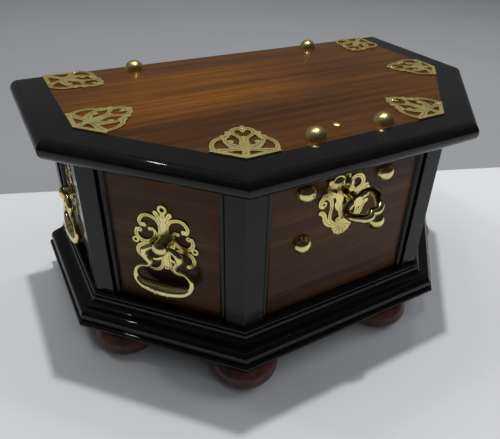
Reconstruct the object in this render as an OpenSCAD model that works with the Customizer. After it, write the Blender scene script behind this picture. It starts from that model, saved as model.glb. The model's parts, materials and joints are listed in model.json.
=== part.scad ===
// Brass-mounted wooden money box: a five-sided front on a square back, hinged lid, key lock and four drop handles.
// Plan: x runs along the front, y towards the back, z up; the floor is z = 0.

/* [Case] */
// Width of the case across the side posts
body_w = 370; // [300:1:480]
// Depth of the case from the back board to the front posts
body_d = 226; // [190:1:300]
// Length of each square side, from the back to the canted corner
side_d = 126; // [110:1:170]
// Width of the front between its two corner posts
front_w = 186; // [170:1:230]
// Height of the walls between the plinth and the lid
case_h = 134; // [118:1:200]
// Thickness of the wall boards
board_t = 12; // [9:0.5:16]
// Depth that the boards stand back behind the post faces
recess = 5; // [3:0.5:7]
// Width of one face of a corner post
post_w = 16.5; // [12:0.5:22]
// Width of the beaded strip between a post and its board
bead_w = 6.5; // [5:0.5:9]
// Thickness of the tongue on each upright edge of a board
tongue_t = 4; // [3:0.5:6]
// Length of that tongue
tongue_w = 5; // [3:0.5:8]
// Thickness of the floor board
floor_t = 8; // [6:0.5:12]

/* [Plinth and feet] */
// Height of the moulded plinth
plinth_h = 27; // [24:0.5:34]
// Projection of the plinth beyond the posts
plinth_out = 21; // [19:0.5:26]
// Width of the plinth lengths behind the post faces
plinth_in = 28; // [24:1:34]
// Height of the bun feet
foot_h = 22; // [16:0.5:32]
// Largest radius of a foot
foot_r = 28.5; // [24:0.5:34]
// Radius of the dowel that holds a foot
dowel_r = 7; // [5:0.5:9]
// Length of that dowel above the foot
dowel_h = 15; // [10:1:20]
// Distance of the side and front feet inside the post faces
foot_in = 2; // [0:0.5:10]
// Distance of the back feet inside the side and back faces
back_foot_in = 22; // [20:1:34]
// Distance of the side feet from their corner, along the canted face
side_foot_shift = 24; // [0:1:40]
// Distance of the right front foot inboard of its corner
front_foot_shift = 40; // [0:1:50]

/* [Lid] */
// Thickness of the lid
lid_t = 16; // [14:0.5:22]
// Overhang of the lid's rounded edge beyond the posts
lid_out = 23; // [20:0.5:30]
// Distance of the lid's board inside the post faces
panel_in = 5; // [3:0.5:8]
// Width of the quirk between the flat border and the rounded edge
quirk_w = 1.5; // [1:0.25:2.5]
// Depth of that quirk
quirk_h = 1; // [0.5:0.25:2]

/* [Brass mounts] */
// Thickness of the pierced brass plates
plate_t = 1.2; // [0.8:0.1:2]
// Width of the straight strips along the edges of a corner mount
strip_w = 3.4; // [2.5:0.1:5]
// Length of those strips
strip_l = 27; // [22:0.5:34]
// How much longer the two back mounts are
mount_reach = 9; // [6:0.5:10]
// Radius of the domed studs on the lid
lid_stud_r = 8.8; // [6:0.1:10]
// Height of the domed studs on the lid
lid_stud_h = 8; // [4:0.1:9]
// Half the distance between the studs at the front of the lid
front_stud_x = 32; // [24:0.5:50]
// Distance of those studs behind the front post faces
front_stud_in = 15; // [13:0.5:18]
// Half the distance between the studs at the back of the lid
back_stud_x = 99; // [70:0.5:130]
// Distance of those studs from the back edge
back_stud_in = 9; // [8.5:0.5:14]

/* [Lock] */
// Distance of the lock from the middle of the front, to the right
lock_x = -3; // [-12:0.5:12]
// Depth of the key's axis below the lid
key_down = 32; // [31:0.5:38]
// Radius of the key's shank
key_r = 3.2; // [2.8:0.1:4]
// Reach of the key's bit from its axis
bit_l = 10.5; // [9:0.25:11]
// Distance from the lock plate to the outer end of the key's bow
key_out = 37; // [36:0.5:60]
// Angle of the key's bow above the horizontal
key_angle = 30; // [0:1:40]
// Travel of the lock's bolt
bolt_travel = 10; // [8:0.5:10]
// Half the distance across the studs that hold the lock
lock_stud_x = 38; // [36:0.5:42]
// Height of the upper lock studs above the key's axis
lock_stud_up = 9.5; // [8:0.5:12]
// Depth of the lower lock studs below the key's axis
lock_stud_down = 38; // [34:0.5:42]
// Radius of the domed studs that hold the lock
lock_stud_r = 8.4; // [7:0.1:10]
// Height of those domed studs
lock_stud_h = 8; // [4:0.1:9]
// Depth of the lock case
lock_d = 18; // [17:0.5:22]
// Thickness of the lock case
lock_t = 2; // [1.5:0.1:3]
// Height of the keyhole cover's rivet above the key's axis
cover_up = 9; // [9:0.5:12]
// Angle of the keyhole cover above the horizontal, swung aside to the left
cover_angle = 15; // [0:1:60]

/* [Handles] */
// Height of a handle's pivot above the plinth
handle_z = 65.5; // [60:0.5:74]
// Stand-off of the pivot from the handle plate
pivot_out = 6.5; // [6:0.25:9]
// Thickness of a bail at its arms, as a share of the swelling table
bail_r = 1.5; // [1.2:0.05:1.8]
// Half the width of a bail, to the middle of its bar
bail_w = 23.5; // [21:0.5:30]
// Drop of a bail's foot below its pivot, to the middle of its bar
bail_drop = 42.5; // [36:0.5:50]
// Width of the turned ring in the middle of a bail
grip_w = 6; // [4:0.5:9]
// Radius of the boss that carries a bail
boss_r = 6; // [5:0.1:8]
// Radius of a bail's pivot ends
pivot_r = 1.6; // [1.3:0.1:2]

/* [Hinges] */
// Distance of the hinge axis behind the back board
hinge_out = 5; // [5:0.25:8]
// Radius of the hinge knuckles
knuckle_r = 4.5; // [3.5:0.1:4.5]
// Radius of the hinge pins
hinge_pin_r = 2; // [1.5:0.1:2.5]
// Width of a hinge
hinge_w = 36; // [30:1:60]
// Length of a hinge leaf on the back of the case
back_leaf_l = 38; // [30:1:60]
// Length of a hinge leaf under the lid
lid_leaf_l = 38; // [30:1:60]
// Thickness of the hinge leaves and of the catch plate
leaf_t = 2; // [1.5:0.1:3]

/* [Fits] */
// Radial clearance of a pin or shaft in its hole
running_gap = 0.05; // [0.02:0.01:0.1]
// Clearance between parts that slide or swing past each other
side_gap = 0.3; // [0.2:0.05:0.5]
// Gap between the top of a wall board and the lid
board_gap = 0.1; // [0.1:0.05:0.4]

/* [Hidden] */
$fn = 64;

ebony = "#191716";
mahogany = "#6b3a1e";
red_wood = "#5a2a1c";
foot_wood = "#4c221b";
brass = "#c9a750";
iron = "#6d6a66";

// heights
plinth_top = foot_h + plinth_h;
lid_z = plinth_top + case_h;
lid_top = lid_z + lid_t;
wall_in = recess + board_t;
key_height = lid_z - key_down;
handle_height = plinth_top + handle_z;

// angle of a canted face from the front, and half the inner angle of each kind of corner
cant = atan2(body_d - side_d, (body_w - front_w) / 2);
cant_l = norm([body_d - side_d, (body_w - front_w) / 2]);
square_half = 45;
side_half = (90 + cant) / 2;
front_half = (180 - cant) / 2;

// the whole depth, from the hinges to the key's bow, the lid's edge or a foot, centred on y = 0
key_face = body_d - recess + plate_t;
front_reach = max(key_face + key_out, body_d + lid_out, body_d - foot_in + foot_r);
rear_reach = hinge_out + knuckle_r;
back_y = (front_reach - rear_reach) / 2;

// corners of the plan grown by d, from the left back corner round the front to the right back one
function corner(i, d) = [
    [-body_w / 2 - d, 0],
    [-body_w / 2 - d, -side_d - d * tan((90 - cant) / 2)],
    [-front_w / 2 - d * tan(cant / 2), -body_d - d],
    [front_w / 2 + d * tan(cant / 2), -body_d - d],
    [body_w / 2 + d, -side_d - d * tan((90 - cant) / 2)],
    [body_w / 2 + d, 0]
][i];
side_angle = [-90, -cant, 0, cant, 90];
side_l = [side_d, cant_l, front_w, cant_l, side_d];

module placed() { translate([0, back_y, 0]) children(); }

// frame of side i: x to the right as seen from outside, y inwards from the post faces
module on_side(i) {
    translate([for (k = [0, 1]) (corner(i, 0)[k] + corner(i + 1, 0)[k]) / 2])
        rotate([0, 0, side_angle[i]]) children();
}

// a round bar along y from y0 to y1
module y_rod(r, y0, y1) { translate([0, y1, 0]) rotate([90, 0, 0]) cylinder(r = r, h = y1 - y0); }

// a domed head on the plane z = 0, with a thin collar
module dome(r, h) {
    collar = 0.8;
    cap = h - collar;
    ball = (r * r + cap * cap) / (2 * cap);
    rotate_extrude() {
        square([r, collar + 0.01]);
        intersection() {
            translate([0, h - ball]) circle(r = ball, $fn = 96);
            translate([0, collar]) square([r, cap]);
        }
    }
}

// a smooth curve through points of any dimension: steps points on each stretch, ends included
function curve(p, steps) = [
    for (i = [0:len(p) - 2], k = [0:steps - (i < len(p) - 2 ? 1 : 0)])
        let (a = p[max(i - 1, 0)], b = p[i], c = p[i + 1], d = p[min(i + 2, len(p) - 1)], t = k / steps)
        0.5 * (2 * b + (c - a) * t + (2 * a - 5 * b + 4 * c - d) * t * t
               + (3 * b - a - 3 * c + d) * t * t * t)
];

// a bar of changing radius in the x-z plane along points [x, z, radius]
module swept_bar(p, sides) {
    n = len(p);
    ring = [for (i = [0:n - 1], k = [0:sides - 1])
        let (q = p[min(i + 1, n - 1)], o = p[max(i - 1, 0)], along = atan2(q[1] - o[1], q[0] - o[0]),
             out = p[i][2] * cos(360 * k / sides), up = p[i][2] * sin(360 * k / sides))
        [p[i][0] - out * sin(along), up, p[i][1] + out * cos(along)]];
    polyhedron(ring, [
        [for (k = [0:sides - 1]) sides - 1 - k],
        [for (k = [0:sides - 1]) (n - 1) * sides + k],
        for (i = [0:n - 2], k = [0:sides - 1])
            let (j = (k + 1) % sides, a = i * sides, b = (i + 1) * sides) [a + k, a + j, b + j, b + k]
    ]);
}

// ---------- walls ----------

// plan of the post's strip on one side, from its corner at x = 0, y inwards
module post_strip() {
    bead_r = (bead_w - 1) / 2;
    lip = 0.5;
    difference() {
        union() {
            square([post_w, wall_in]);
            translate([post_w, recess - lip]) square([bead_w, board_t + lip]);
            translate([post_w + bead_r + 0.5, recess - lip]) circle(r = bead_r);
        }
        translate([post_w + bead_w - tongue_w - 0.2, wall_in - (board_t + tongue_t) / 2 - 0.05])
            square([tongue_w + 0.3, tongue_t + 0.1]);
    }
}

module post(i) {
    color(ebony) placed() translate([0, 0, plinth_top]) linear_extrude(case_h) {
        if (i > 0) on_side(i - 1) translate([side_l[i - 1] / 2, 0]) mirror([1, 0]) post_strip();
        if (i < 5) on_side(i) translate([-side_l[i] / 2, 0]) post_strip();
    }
}

module side_board(i) {
    w = side_l[i] - 2 * (post_w + bead_w);
    h = case_h - board_gap;
    placed() translate([0, 0, plinth_top]) on_side(i) {
        translate([-w / 2, recess, 0]) cube([w, board_t, h]);
        translate([-w / 2 - tongue_w, recess + (board_t - tongue_t) / 2, 0])
            cube([w + 2 * tongue_w, tongue_t, h]);
    }
}

module keyhole(r) {
    circle(r = r);
    translate([-1.7, -bit_l - 0.6]) square([3.4, bit_l]);
}

module front_board() {
    color(red_wood) difference() {
        side_board(2);
        placed() on_side(2) {
            translate([lock_x, wall_in + 1, key_height]) rotate([90, 0, 0])
                linear_extrude(board_t + 2) keyhole(key_r + 0.4);
            at_lock_studs() y_rod(stud_shank_r + running_gap, recess - 1, wall_in + 1);
            translate([lock_x, 0, key_height + cover_up])
                y_rod(rivet_r + running_gap, recess - 1, recess + rivet_in);
        }
    }
}

module handled_board(i) {
    color(red_wood) difference() {
        side_board(i);
        placed() on_side(i) translate([0, 0, handle_height])
            y_rod(stud_shank_r + running_gap, recess - 1, wall_in + 1);
    }
}

module back_board() {
    w = body_w - 2 * wall_in;
    color(red_wood) placed() translate([-w / 2, -board_t, plinth_top]) cube([w, board_t, case_h]);
}

module floor_board() {
    color(red_wood) placed() translate([0, 0, plinth_top]) linear_extrude(floor_t)
        intersection() {
            polygon([for (i = [0:5]) corner(i, -wall_in)]);
            translate([-body_w / 2, -body_d]) square([body_w, body_d - board_t]);
        }
}

// ---------- plinth and feet ----------

// section of the plinth: x outwards from the post faces, y up from its underside
module plinth_section() {
    bead = 2.5;
    cove = 6.5;
    step = 1;
    torus = 7;
    lip_h = 5;
    lip_r = lip_h / 2;
    shelf = plinth_out - lip_r;
    cove_top = plinth_h - bead - 1.5;
    cove_foot = cove_top - cove;
    cove_x = shelf - torus - step - cove;
    translate([-plinth_in, 0]) square([plinth_in + 1, plinth_h]);
    square([bead + 1, plinth_h - bead]);
    translate([1, plinth_h - bead]) circle(r = bead);
    square([cove_x, cove_top]);
    difference() {
        translate([cove_x, 0]) square([cove, cove_top]);
        translate([cove_x + cove, cove_top]) circle(r = cove);
    }
    square([cove_x + cove + step, cove_foot]);
    intersection() {
        translate([0, lip_h + 1]) square([shelf, cove_foot - step - lip_h - 1]);
        translate([shelf - torus, cove_foot - step - torus]) circle(r = torus);
    }
    square([shelf - torus, cove_foot - step]);
    square([shelf - 0.5, lip_h + 1.5]);
    square([shelf, lip_h]);
    translate([shelf, lip_r]) circle(r = lip_r);
}

// a moulded length on side i, mitred at the corners, with its section's x pointing outwards
module moulding(i, z, h, inner, outer) {
    run = side_l[i] + 4 * outer;
    placed() intersection() {
        translate([0, 0, z]) on_side(i) translate([-run / 2, 0, 0]) rotate([90, 0, 90])
            linear_extrude(run) mirror([1, 0]) children();
        translate([0, 0, z - 1]) linear_extrude(h + 2)
            polygon([corner(i, outer + 1), corner(i + 1, outer + 1), corner(i + 1, -inner),
                     corner(i, -inner)]);
    }
}

// centre of foot k, from the left back foot round the front to the right back one
function foot_at(k) = [
    [-body_w / 2 + back_foot_in, -back_foot_in],
    corner(1, -foot_in) + side_foot_shift * [cos(cant), -sin(cant)],
    corner(2, -foot_in),
    corner(3, -foot_in) - [front_foot_shift, 0],
    corner(4, -foot_in) + side_foot_shift * [-cos(cant), -sin(cant)],
    [body_w / 2 - back_foot_in, -back_foot_in]
][k];

module dowel_holes() {
    placed() for (k = [0:5]) translate([foot_at(k)[0], foot_at(k)[1], foot_h - 1])
        cylinder(r = dowel_r + running_gap, h = dowel_h + 1.5);
}

module plinth(i) {
    color(ebony) difference() {
        moulding(i, foot_h, plinth_h, plinth_in, plinth_out) plinth_section();
        dowel_holes();
    }
}

module back_plinth() {
    w = body_w - 2 * plinth_in;
    color(ebony) difference() {
        placed() translate([-w / 2, -plinth_in, foot_h]) cube([w, plinth_in, plinth_h]);
        dowel_holes();
    }
}

module foot(k) {
    edge = foot_h / 2;
    color(foot_wood) placed() translate([foot_at(k)[0], foot_at(k)[1], 0]) {
        rotate_extrude() {
            square([foot_r - edge, foot_h]);
            intersection() {
                translate([foot_r - edge, edge]) circle(r = edge);
                square([foot_r, foot_h]);
            }
        }
        cylinder(r = dowel_r, h = foot_h + dowel_h);
    }
}

// ---------- lid ----------

// section of the lid's edge: x outwards from the post faces, y up from the lid's underside
module lid_section() {
    nose = lid_t / 2;
    flat_w = lid_out - nose - quirk_w;
    translate([-panel_in, 0]) square([panel_in + flat_w, lid_t]);
    square([lid_out - nose, lid_t - quirk_h]);
    intersection() {
        translate([lid_out - nose, nose]) circle(r = nose);
        square([lid_out, lid_t]);
    }
}

module lid_moulding(i) { color(ebony) moulding(i, lid_z, lid_t, panel_in, lid_out) lid_section(); }

module at_lid_studs() {
    for (x = [-1, 1]) {
        translate([x * front_stud_x - lock_x, front_stud_in - body_d, lid_top]) children();
        translate([x * back_stud_x, -back_stud_in, lid_top]) children();
    }
}
stud_shank_r = 2.4;
front_shank = 11;

module lid_board() {
    color(mahogany) placed() difference() {
        translate([0, 0, lid_z]) linear_extrude(lid_t) polygon([for (i = [0:5]) corner(i, -panel_in)]);
        for (x = [-1, 1]) {
            translate([x * front_stud_x - lock_x, front_stud_in - body_d, lid_top - front_shank - 0.2])
                cylinder(r = stud_shank_r + running_gap, h = front_shank + 1);
            translate([x * back_stud_x, -back_stud_in, lid_z - 1])
                cylinder(r = stud_shank_r + running_gap, h = lid_t + 2);
            translate([x * back_stud_x - hinge_w / 2, -lid_leaf_l, lid_z - 1])
                cube([hinge_w, lid_leaf_l + 1, leaf_t + 1]);
        }
        translate([lock_x, 0, 0]) {
            translate([-catch_w / 2, catch_y - catch_d / 2, lid_z - 1])
                cube([catch_w, catch_d, leaf_t + 1]);
            translate([0, catch_y, lid_z]) cylinder(r = rivet_r + running_gap, h = lid_t + 1);
        }
    }
}

// ---------- pierced brass mounts ----------

// outline of a corner mount in the corner's own frame: x along its bisector, y across it
// half is half the corner's angle and reach moves the scrolls away from the corner
module corner_outline(half, reach) {
    difference() {
        union() {
            for (s = [0, 1]) mirror([0, s]) {
                rotate(half) translate([0, -strip_w]) square([strip_l, strip_w]);
                translate([reach, 0]) {
                    strip([[12.4, 21.6, 4.4], [16.6, 22.6, 3.4], [22, 22.4, 3.2], [27, 20.6, 3.6],
                           [30.8, 17, 4], [33, 12.8, 4.6]]);
                    strip([[33, 12.8, 4.6], [29.4, 13.8, 3.2], [25.4, 13, 3.8], [21, 10.4, 5.4],
                           [17.4, 7.4, 7.6], [15, 3.6, 8]]);
                    strip([[24, 1.6, 3.6], [30, 1.8, 3.4], [34.4, 4.6, 3], [38.4, 7.4, 3.2],
                           [43, 7.8, 3.8], [46.4, 5.6, 4.2], [48, 1.6, 4.6]]);
                    strip([[32.6, 12.6, 4.6], [36.2, 11.4, 4.4], [39.8, 9.6, 4.6], [43.4, 7.6, 4]]);
                    strip([[13.6, 2, 3.4], [12.9, 8, 3.8], [11.9, 14, 5.2], [11.4, 21, 6]]);
                    translate([25.4, 9.7]) circle(r = 2.4, $fn = 32);
                    translate([34.4, 14.8]) circle(r = 2, $fn = 32);
                    translate([40.4, 11.4]) circle(r = 2, $fn = 32);
                }
            }
            strip([[1.5, 0, 4], [6 + reach / 3, 0, 5.6], [11 + reach, 0, 4.8], [17 + reach, 0, 8],
                   [23 + reach, 0, 7.6], [29 + reach, 0, 5.6], [33 + reach, 0, 3]]);
            translate([reach, 0]) {
                strip([[43, 0, 3.6], [46, 0, 6], [49, 0, 4.6], [51.4, 0, 2.6]]);
                strip([[46, 0, 4.4], [43, 0, 3.4], [40.8, 0, 1.4]]);
            }
        }
        for (s = [0, 1]) mirror([0, s]) rotate(half) translate([-20, 0]) square([100, 40]);
    }
}

module corner_mount(i) {
    half = [square_half, side_half, front_half, front_half, side_half, square_half][i];
    bisector = [
        -square_half, 90 - side_half, front_half, 180 - front_half, 90 + side_half, 180 + square_half
    ][i];
    at = corner(i, -panel_in);
    color(brass) placed() translate([at[0], at[1], lid_top]) rotate(bisector)
        linear_extrude(plate_t) corner_outline(half, i == 0 || i == 5 ? mount_reach : 0);
}

module lid_studs() {
    color(brass) placed() {
        at_lid_studs() dome(lid_stud_r, lid_stud_h);
        for (x = [-1, 1]) {
            translate([x * front_stud_x - lock_x, front_stud_in - body_d, lid_top - front_shank])
                cylinder(r = stud_shank_r, h = front_shank + 0.5);
            translate([x * back_stud_x, -back_stud_in, lid_z])
                cylinder(r = stud_shank_r, h = lid_t + 0.5);
        }
    }
}

// ---------- lock ----------
rivet_r = 1.6;
rivet_in = 6;
lock_w = 2 * lock_stud_x + 16;
lock_low = key_height - lock_stud_down - 9;
lock_high = lid_z - side_gap;
catch_y = wall_in - body_d + lock_d / 2 - 0.5;
catch_w = 60;
catch_d = 15;
loop_x = 14;
loop_t = 3;
loop_w = 8;
loop_h = 14;
eye_h = 5;
bolt_t = 3.6;
bolt_low = key_height - bit_l - 6.5;
bar_h = 7;
bolt_bar_low = lid_z - loop_h - bar_h - 0.5;
finger_z = lid_z - 9;
shank_in = 8;

module at_lock() { placed() on_side(2) translate([lock_x, 0, 0]) children(); }

module at_lock_studs() {
    for (x = [-1, 1], z = [lock_stud_up, -lock_stud_down])
        translate([lock_x + x * lock_stud_x, 0, key_height + z]) children();
}

module lock_case() {
    color(iron) placed() on_side(2) difference() {
        union() {
            difference() {
                translate([lock_x - lock_w / 2, wall_in, lock_low]) cube([lock_w, lock_d, lock_high - lock_low]);
                translate([lock_x - lock_w / 2 + lock_t, wall_in - 1, lock_low + lock_t])
                    cube([lock_w - 2 * lock_t, lock_d - lock_t + 1, lock_high - lock_low - 2 * lock_t]);
            }
            at_lock_studs() y_rod(4, wall_in, wall_in + lock_d - 1);
            translate([lock_x - 34, wall_in + 4, bolt_low - 3.5])
                cube([64, lock_d - lock_t - 3.5, 3.4]);
        }
        at_lock_studs() y_rod(stud_shank_r + running_gap, wall_in - 1, wall_in + shank_in + 0.2);
        translate([lock_x, 0, key_height]) y_rod(key_r - 1 + running_gap, wall_in, wall_in + lock_d + 1);
        for (x = [-1, 1])
            translate([lock_x + x * loop_x - loop_t, body_d + catch_y - loop_w / 2 - 1.3, lid_z - 5])
                cube([2 * loop_t, loop_w + 2.6, 6]);
    }
}

module lock_bolt() {
    color(iron) placed() translate([lock_x, catch_y + bolt_t / 2, 0]) rotate([90, 0, 0])
        linear_extrude(bolt_t) difference() {
            union() {
                translate([-31, bolt_bar_low]) square([47, bar_h]);
                for (x = [-1, 1]) {
                    translate([x * loop_x - 17, bolt_bar_low]) square([5, finger_z + bolt_t / 2 - bolt_bar_low]);
                    translate([x * loop_x - 17, finger_z - bolt_t / 2]) square([14.7, bolt_t]);
                }
                translate([-24, bolt_low]) square([6, bolt_bar_low - bolt_low + 1]);
                translate([-24, bolt_low]) square([32, 12]);
            }
            translate([-11.5, bolt_low + 5.5]) square([9, 8]);
        }
}

module catch_plate() {
    color(brass) placed() translate([lock_x, 0, 0]) {
        difference() {
            union() {
                translate([-catch_w / 2, catch_y - catch_d / 2, lid_z]) cube([catch_w, catch_d, leaf_t]);
                for (x = [-1, 1])
                    translate([x * loop_x - loop_t / 2, catch_y - loop_w / 2, lid_z - loop_h])
                        cube([loop_t, loop_w, loop_h + 1]);
            }
            for (x = [-1, 1])
                translate([x * loop_x - loop_t, catch_y - eye_h / 2, finger_z - eye_h / 2])
                    cube([2 * loop_t, eye_h, eye_h]);
        }
        translate([0, catch_y, lid_z]) cylinder(r = rivet_r, h = lid_t + 0.5);
        translate([0, catch_y, lid_top]) dome(2.8, 1.6);
    }
}

// a flat strip along points [x, y, width], with round ends
module strip(p) {
    c = curve(p, 3);
    last = len(c) - 1;
    head = [for (i = [0:last]) let (d = c[min(i + 1, last)] - c[max(i - 1, 0)]) atan2(d[1], d[0])];
    function rim(i, a) = [c[i][0], c[i][1]] + c[i][2] / 2 * [cos(head[i] + a), sin(head[i] + a)];
    polygon([for (i = [0:last]) rim(i, -90), for (a = [-60:30:60]) rim(last, a),
             for (i = [0:last]) rim(last - i, 90), for (a = [120:30:240]) rim(0, a)]);
}

// outline of the lock plate: x to the right, y up; the key's axis is plate_drop above its origin
plate_drop = 6;
module lock_plate_outline() {
    for (s = [0, 1]) mirror([s, 0]) {
        strip([[20.4, -2.6, 2.2], [23.4, -0.8, 2.8], [23.2, 3.6, 3.8], [19.4, 6.2, 4], [15.4, 4.6, 4],
               [13, 0.4, 3.6], [12.4, -5, 3.2], [13.2, -11, 3.2], [12.8, -16.6, 3.2], [9.4, -20.6, 3.2],
               [5.4, -23, 3.2]]);
        strip([[22.4, -7.4, 4], [20, -8.8, 4], [18.4, -12, 4], [17.3, -15.8, 4.4],
               [14.4, -19.6, 4.4], [9.6, -22.6, 4]]);
        strip([[4.6, 2, 4.2], [4.4, -4, 4.2], [3.6, -10, 3.8], [2.6, -15, 3], [2.8, -20, 3], [4, -23, 3]]);
        strip([[6.6, 9, 3], [7.6, 5, 4.2], [7, 0.6, 2.6]]);
        strip([[6.2, 1, 2.4], [7.4, -3.4, 4.6], [5.6, -8.6, 2.2]]);
        strip([[5, 12.6, 5], [5, 16.4, 3.6], [8.6, 18.9, 3.4], [13.4, 17.8, 3.6], [16.3, 13.6, 3.8],
               [15.6, 9, 4], [11.4, 6.4, 4]]);
        strip([[20.6, 8, 3.8], [17, 7.4, 3.6], [12, 5.6, 3.4], [8, 4.6, 3]]);
        translate([4.5, -18.6]) circle(r = 2.5, $fn = 32);
        difference() {
            translate([20.2, 0]) circle(r = 2.8, $fn = 32);
            translate([20.2, 0]) circle(r = 1.2, $fn = 24);
        }
    }
    difference() {
        union() {
            translate([0, plate_drop]) circle(r = 8.2);
            translate([0, plate_drop + cover_up - 1]) circle(r = 5);
            translate([0, 20.4]) circle(r = 3, $fn = 32);
        }
        translate([0, 20.4]) circle(r = 1.3, $fn = 24);
        translate([-1.7, -8]) square([3.4, 10]);
    }
    translate([0, -24]) {
        circle(r = 5);
        for (a = [-75:30:75]) rotate(a) translate([0, -7.2]) circle(r = 2.7, $fn = 32);
    }
}

module lock_plate() {
    color(brass) at_lock() translate([0, recess, key_height]) rotate([90, 0, 0]) difference() {
        translate([0, -plate_drop, 0]) linear_extrude(plate_t) lock_plate_outline();
        translate([0, 0, -1]) linear_extrude(plate_t + 2) keyhole(key_r + 0.4);
        translate([0, cover_up, -1]) cylinder(r = rivet_r + running_gap, h = plate_t + 2);
    }
}

module lock_studs() {
    color(brass) placed() on_side(2) at_lock_studs() {
        translate([0, recess, 0]) rotate([90, 0, 0]) dome(lock_stud_r, lock_stud_h);
        y_rod(stud_shank_r, recess - 0.5, wall_in + shank_in);
    }
}

cover_t = 2;

module cover_rivet() {
    color(brass) at_lock() translate([0, recess - plate_t, key_height + cover_up]) {
        y_rod(rivet_r, -cover_t - 2 * side_gap - 0.5, plate_t + rivet_in - 0.2);
        translate([0, -cover_t - 2 * side_gap, 0]) rotate([90, 0, 0]) dome(3.2, 1.8);
    }
}

// keyhole cover, swung aside to the left of its rivet
module keyhole_cover() {
    disc_r = 6.8;
    reach = cover_up + 1;
    tail = reach + disc_r + 1.2;
    color(brass) at_lock() translate([0, recess - plate_t - side_gap, key_height + cover_up])
        rotate([90, 0, 0]) rotate([0, 0, -cover_angle]) difference() {
            union() {
                linear_extrude(cover_t) {
                    circle(r = 4.4);
                    translate([-reach, 0]) circle(r = disc_r);
                    translate([-tail, 0]) circle(r = 2);
                }
                translate([-reach, 0, cover_t - 0.5]) dome(disc_r - 1.2, 3.4);
            }
            translate([0, 0, -1]) cylinder(r = rivet_r + running_gap, h = cover_t + 6);
        }
}

// half of the key's bow, a heart-shaped loop: [x across it, distance from its outer end, radius]
bow_l = 24;
function half_bow() = [
    for (p = [[1, bow_l, 2.8], [6, 24.6, 3.1], [11, 23.4, 3.3], [13.6, 19.4, 3.4], [12.8, 13.6, 3.4],
              [9.8, 8.6, 3.4], [7.2, 4.8, 3.3], [3.6, 3.4, 3.2], [0, 5.8, 3.4]])
        [p[0], key_out - p[1], p[2]]
];

module key_bow() {
    half = half_bow();
    last = len(half) - 1;
    loop = concat(half, [for (i = [1:last]) let (p = half[last - i]) [-p[0], p[1], p[2]]]);
    swept_bar(curve(loop, 3), 12);
}

module key() {
    bit_back = catch_y + body_d + 5;
    face = recess - plate_t;
    bow_root = key_out - bow_l;
    color(brass) at_lock() translate([0, 0, key_height]) rotate([0, -key_angle, 0]) {
        y_rod(key_r, face - bow_root, bit_back);
        y_rod(key_r - 1, bit_back - 1, wall_in + lock_d + 0.5);
        y_rod(4.2, face - bow_root - 2.5, face - bow_root + 3.5);
        y_rod(4.8, face - bow_root + 4.6, face - bow_root + 6.4);
        translate([-bit_l, bit_back - 10, -1.2]) cube([bit_l, 10, 2.4]);
        translate([0, face, 0]) rotate([90, 0, 0]) key_bow();
    }
}

// ---------- handles ----------

// outline of a handle plate: x to the right, y up, from the boss
module handle_outline() {
    for (s = [0, 1]) mirror([s, 0]) {
        strip([[19, 13.2, 3], [20.3, 17.4, 3], [16.9, 22.3, 2.8], [11.9, 23.4, 2.6],
               [6.4, 21.4, 2.8], [3.2, 16.8, 3], [3, 11, 2.8], [5.2, 5.4, 2.4]]);
        translate([16.7, 13.8]) circle(r = 2.1, $fn = 32);
        strip([[9.6, 11.6, 2.6], [7.4, 9, 2.8], [7.6, 4.8, 3.2], [11, 0.2, 3.4],
               [16.9, -2.2, 3.4], [22.3, 0.2, 3.4], [24.1, 4.6, 3.2], [23, 8.6, 3]]);
        translate([11.7, 10.9]) circle(r = 1.7, $fn = 32);
        translate([20.6, 8.5]) circle(r = 2.1, $fn = 32);
        strip([[9.9, -5.2, 2], [15.7, -4.7, 2.8], [21.4, -6.6, 3.2], [24.2, -10.8, 3.2], [23.4, -15.6, 3.2],
               [19.4, -18.6, 3.6]]);
        strip([[2.6, -7, 3.4], [2.6, -14, 3], [3, -20, 2.8], [5, -25.6, 2.8], [9, -28.3, 2.8],
               [12.8, -28.5, 2.6], [15.6, -27, 2.8]]);
        strip([[3.4, -15, 2], [7.4, -17.6, 2], [11, -18.3, 1.8]]);
        strip([[5.9, 26.8, 4], [3.8, 23.6, 3.2], [1.6, 18, 2.4]]);
        difference() {
            translate([25.3, -2.3]) circle(r = 2.9, $fn = 32);
            translate([25.3, -2.3]) circle(r = 1.3, $fn = 24);
        }
    }
    difference() {
        union() {
            translate([0, 30.6]) circle(r = 3.9, $fn = 36);
            translate([-2, 4]) square([4, 24]);
            translate([-2, -26]) square([4, 22]);
            circle(r = 9);
        }
        translate([0, 30.6]) circle(r = 1.9, $fn = 32);
    }
}

module at_handle(i) { placed() on_side(i) translate([0, recess, handle_height]) children(); }

module handle_plate(i) {
    color(brass) at_handle(i) rotate([90, 0, 0]) difference() {
        linear_extrude(plate_t) handle_outline();
        translate([0, 0, -1]) cylinder(r = stud_shank_r + running_gap, h = plate_t + 2);
    }
}

module handle_boss() {
    head = pivot_out + pivot_r + 1;
    difference() {
        union() {
            translate([0, -plate_t, 0]) rotate([90, 0, 0]) {
                cylinder(r = boss_r + 1.2, h = 1.6);
                cylinder(r = boss_r, h = head);
                translate([0, 0, head - 0.5]) dome(boss_r, 3.4);
            }
            y_rod(stud_shank_r, -plate_t - 0.5, board_t + 0.5);
            y_rod(5, board_t, board_t + 1.5);
        }
        translate([-boss_r - 2, -plate_t - pivot_out, 0]) rotate([0, 90, 0])
            cylinder(r = pivot_r + running_gap, h = 2 * boss_r + 4);
    }
}

module handle_bosses() { color(brass) for (i = [0, 1, 3, 4]) at_handle(i) handle_boss(); }

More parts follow.
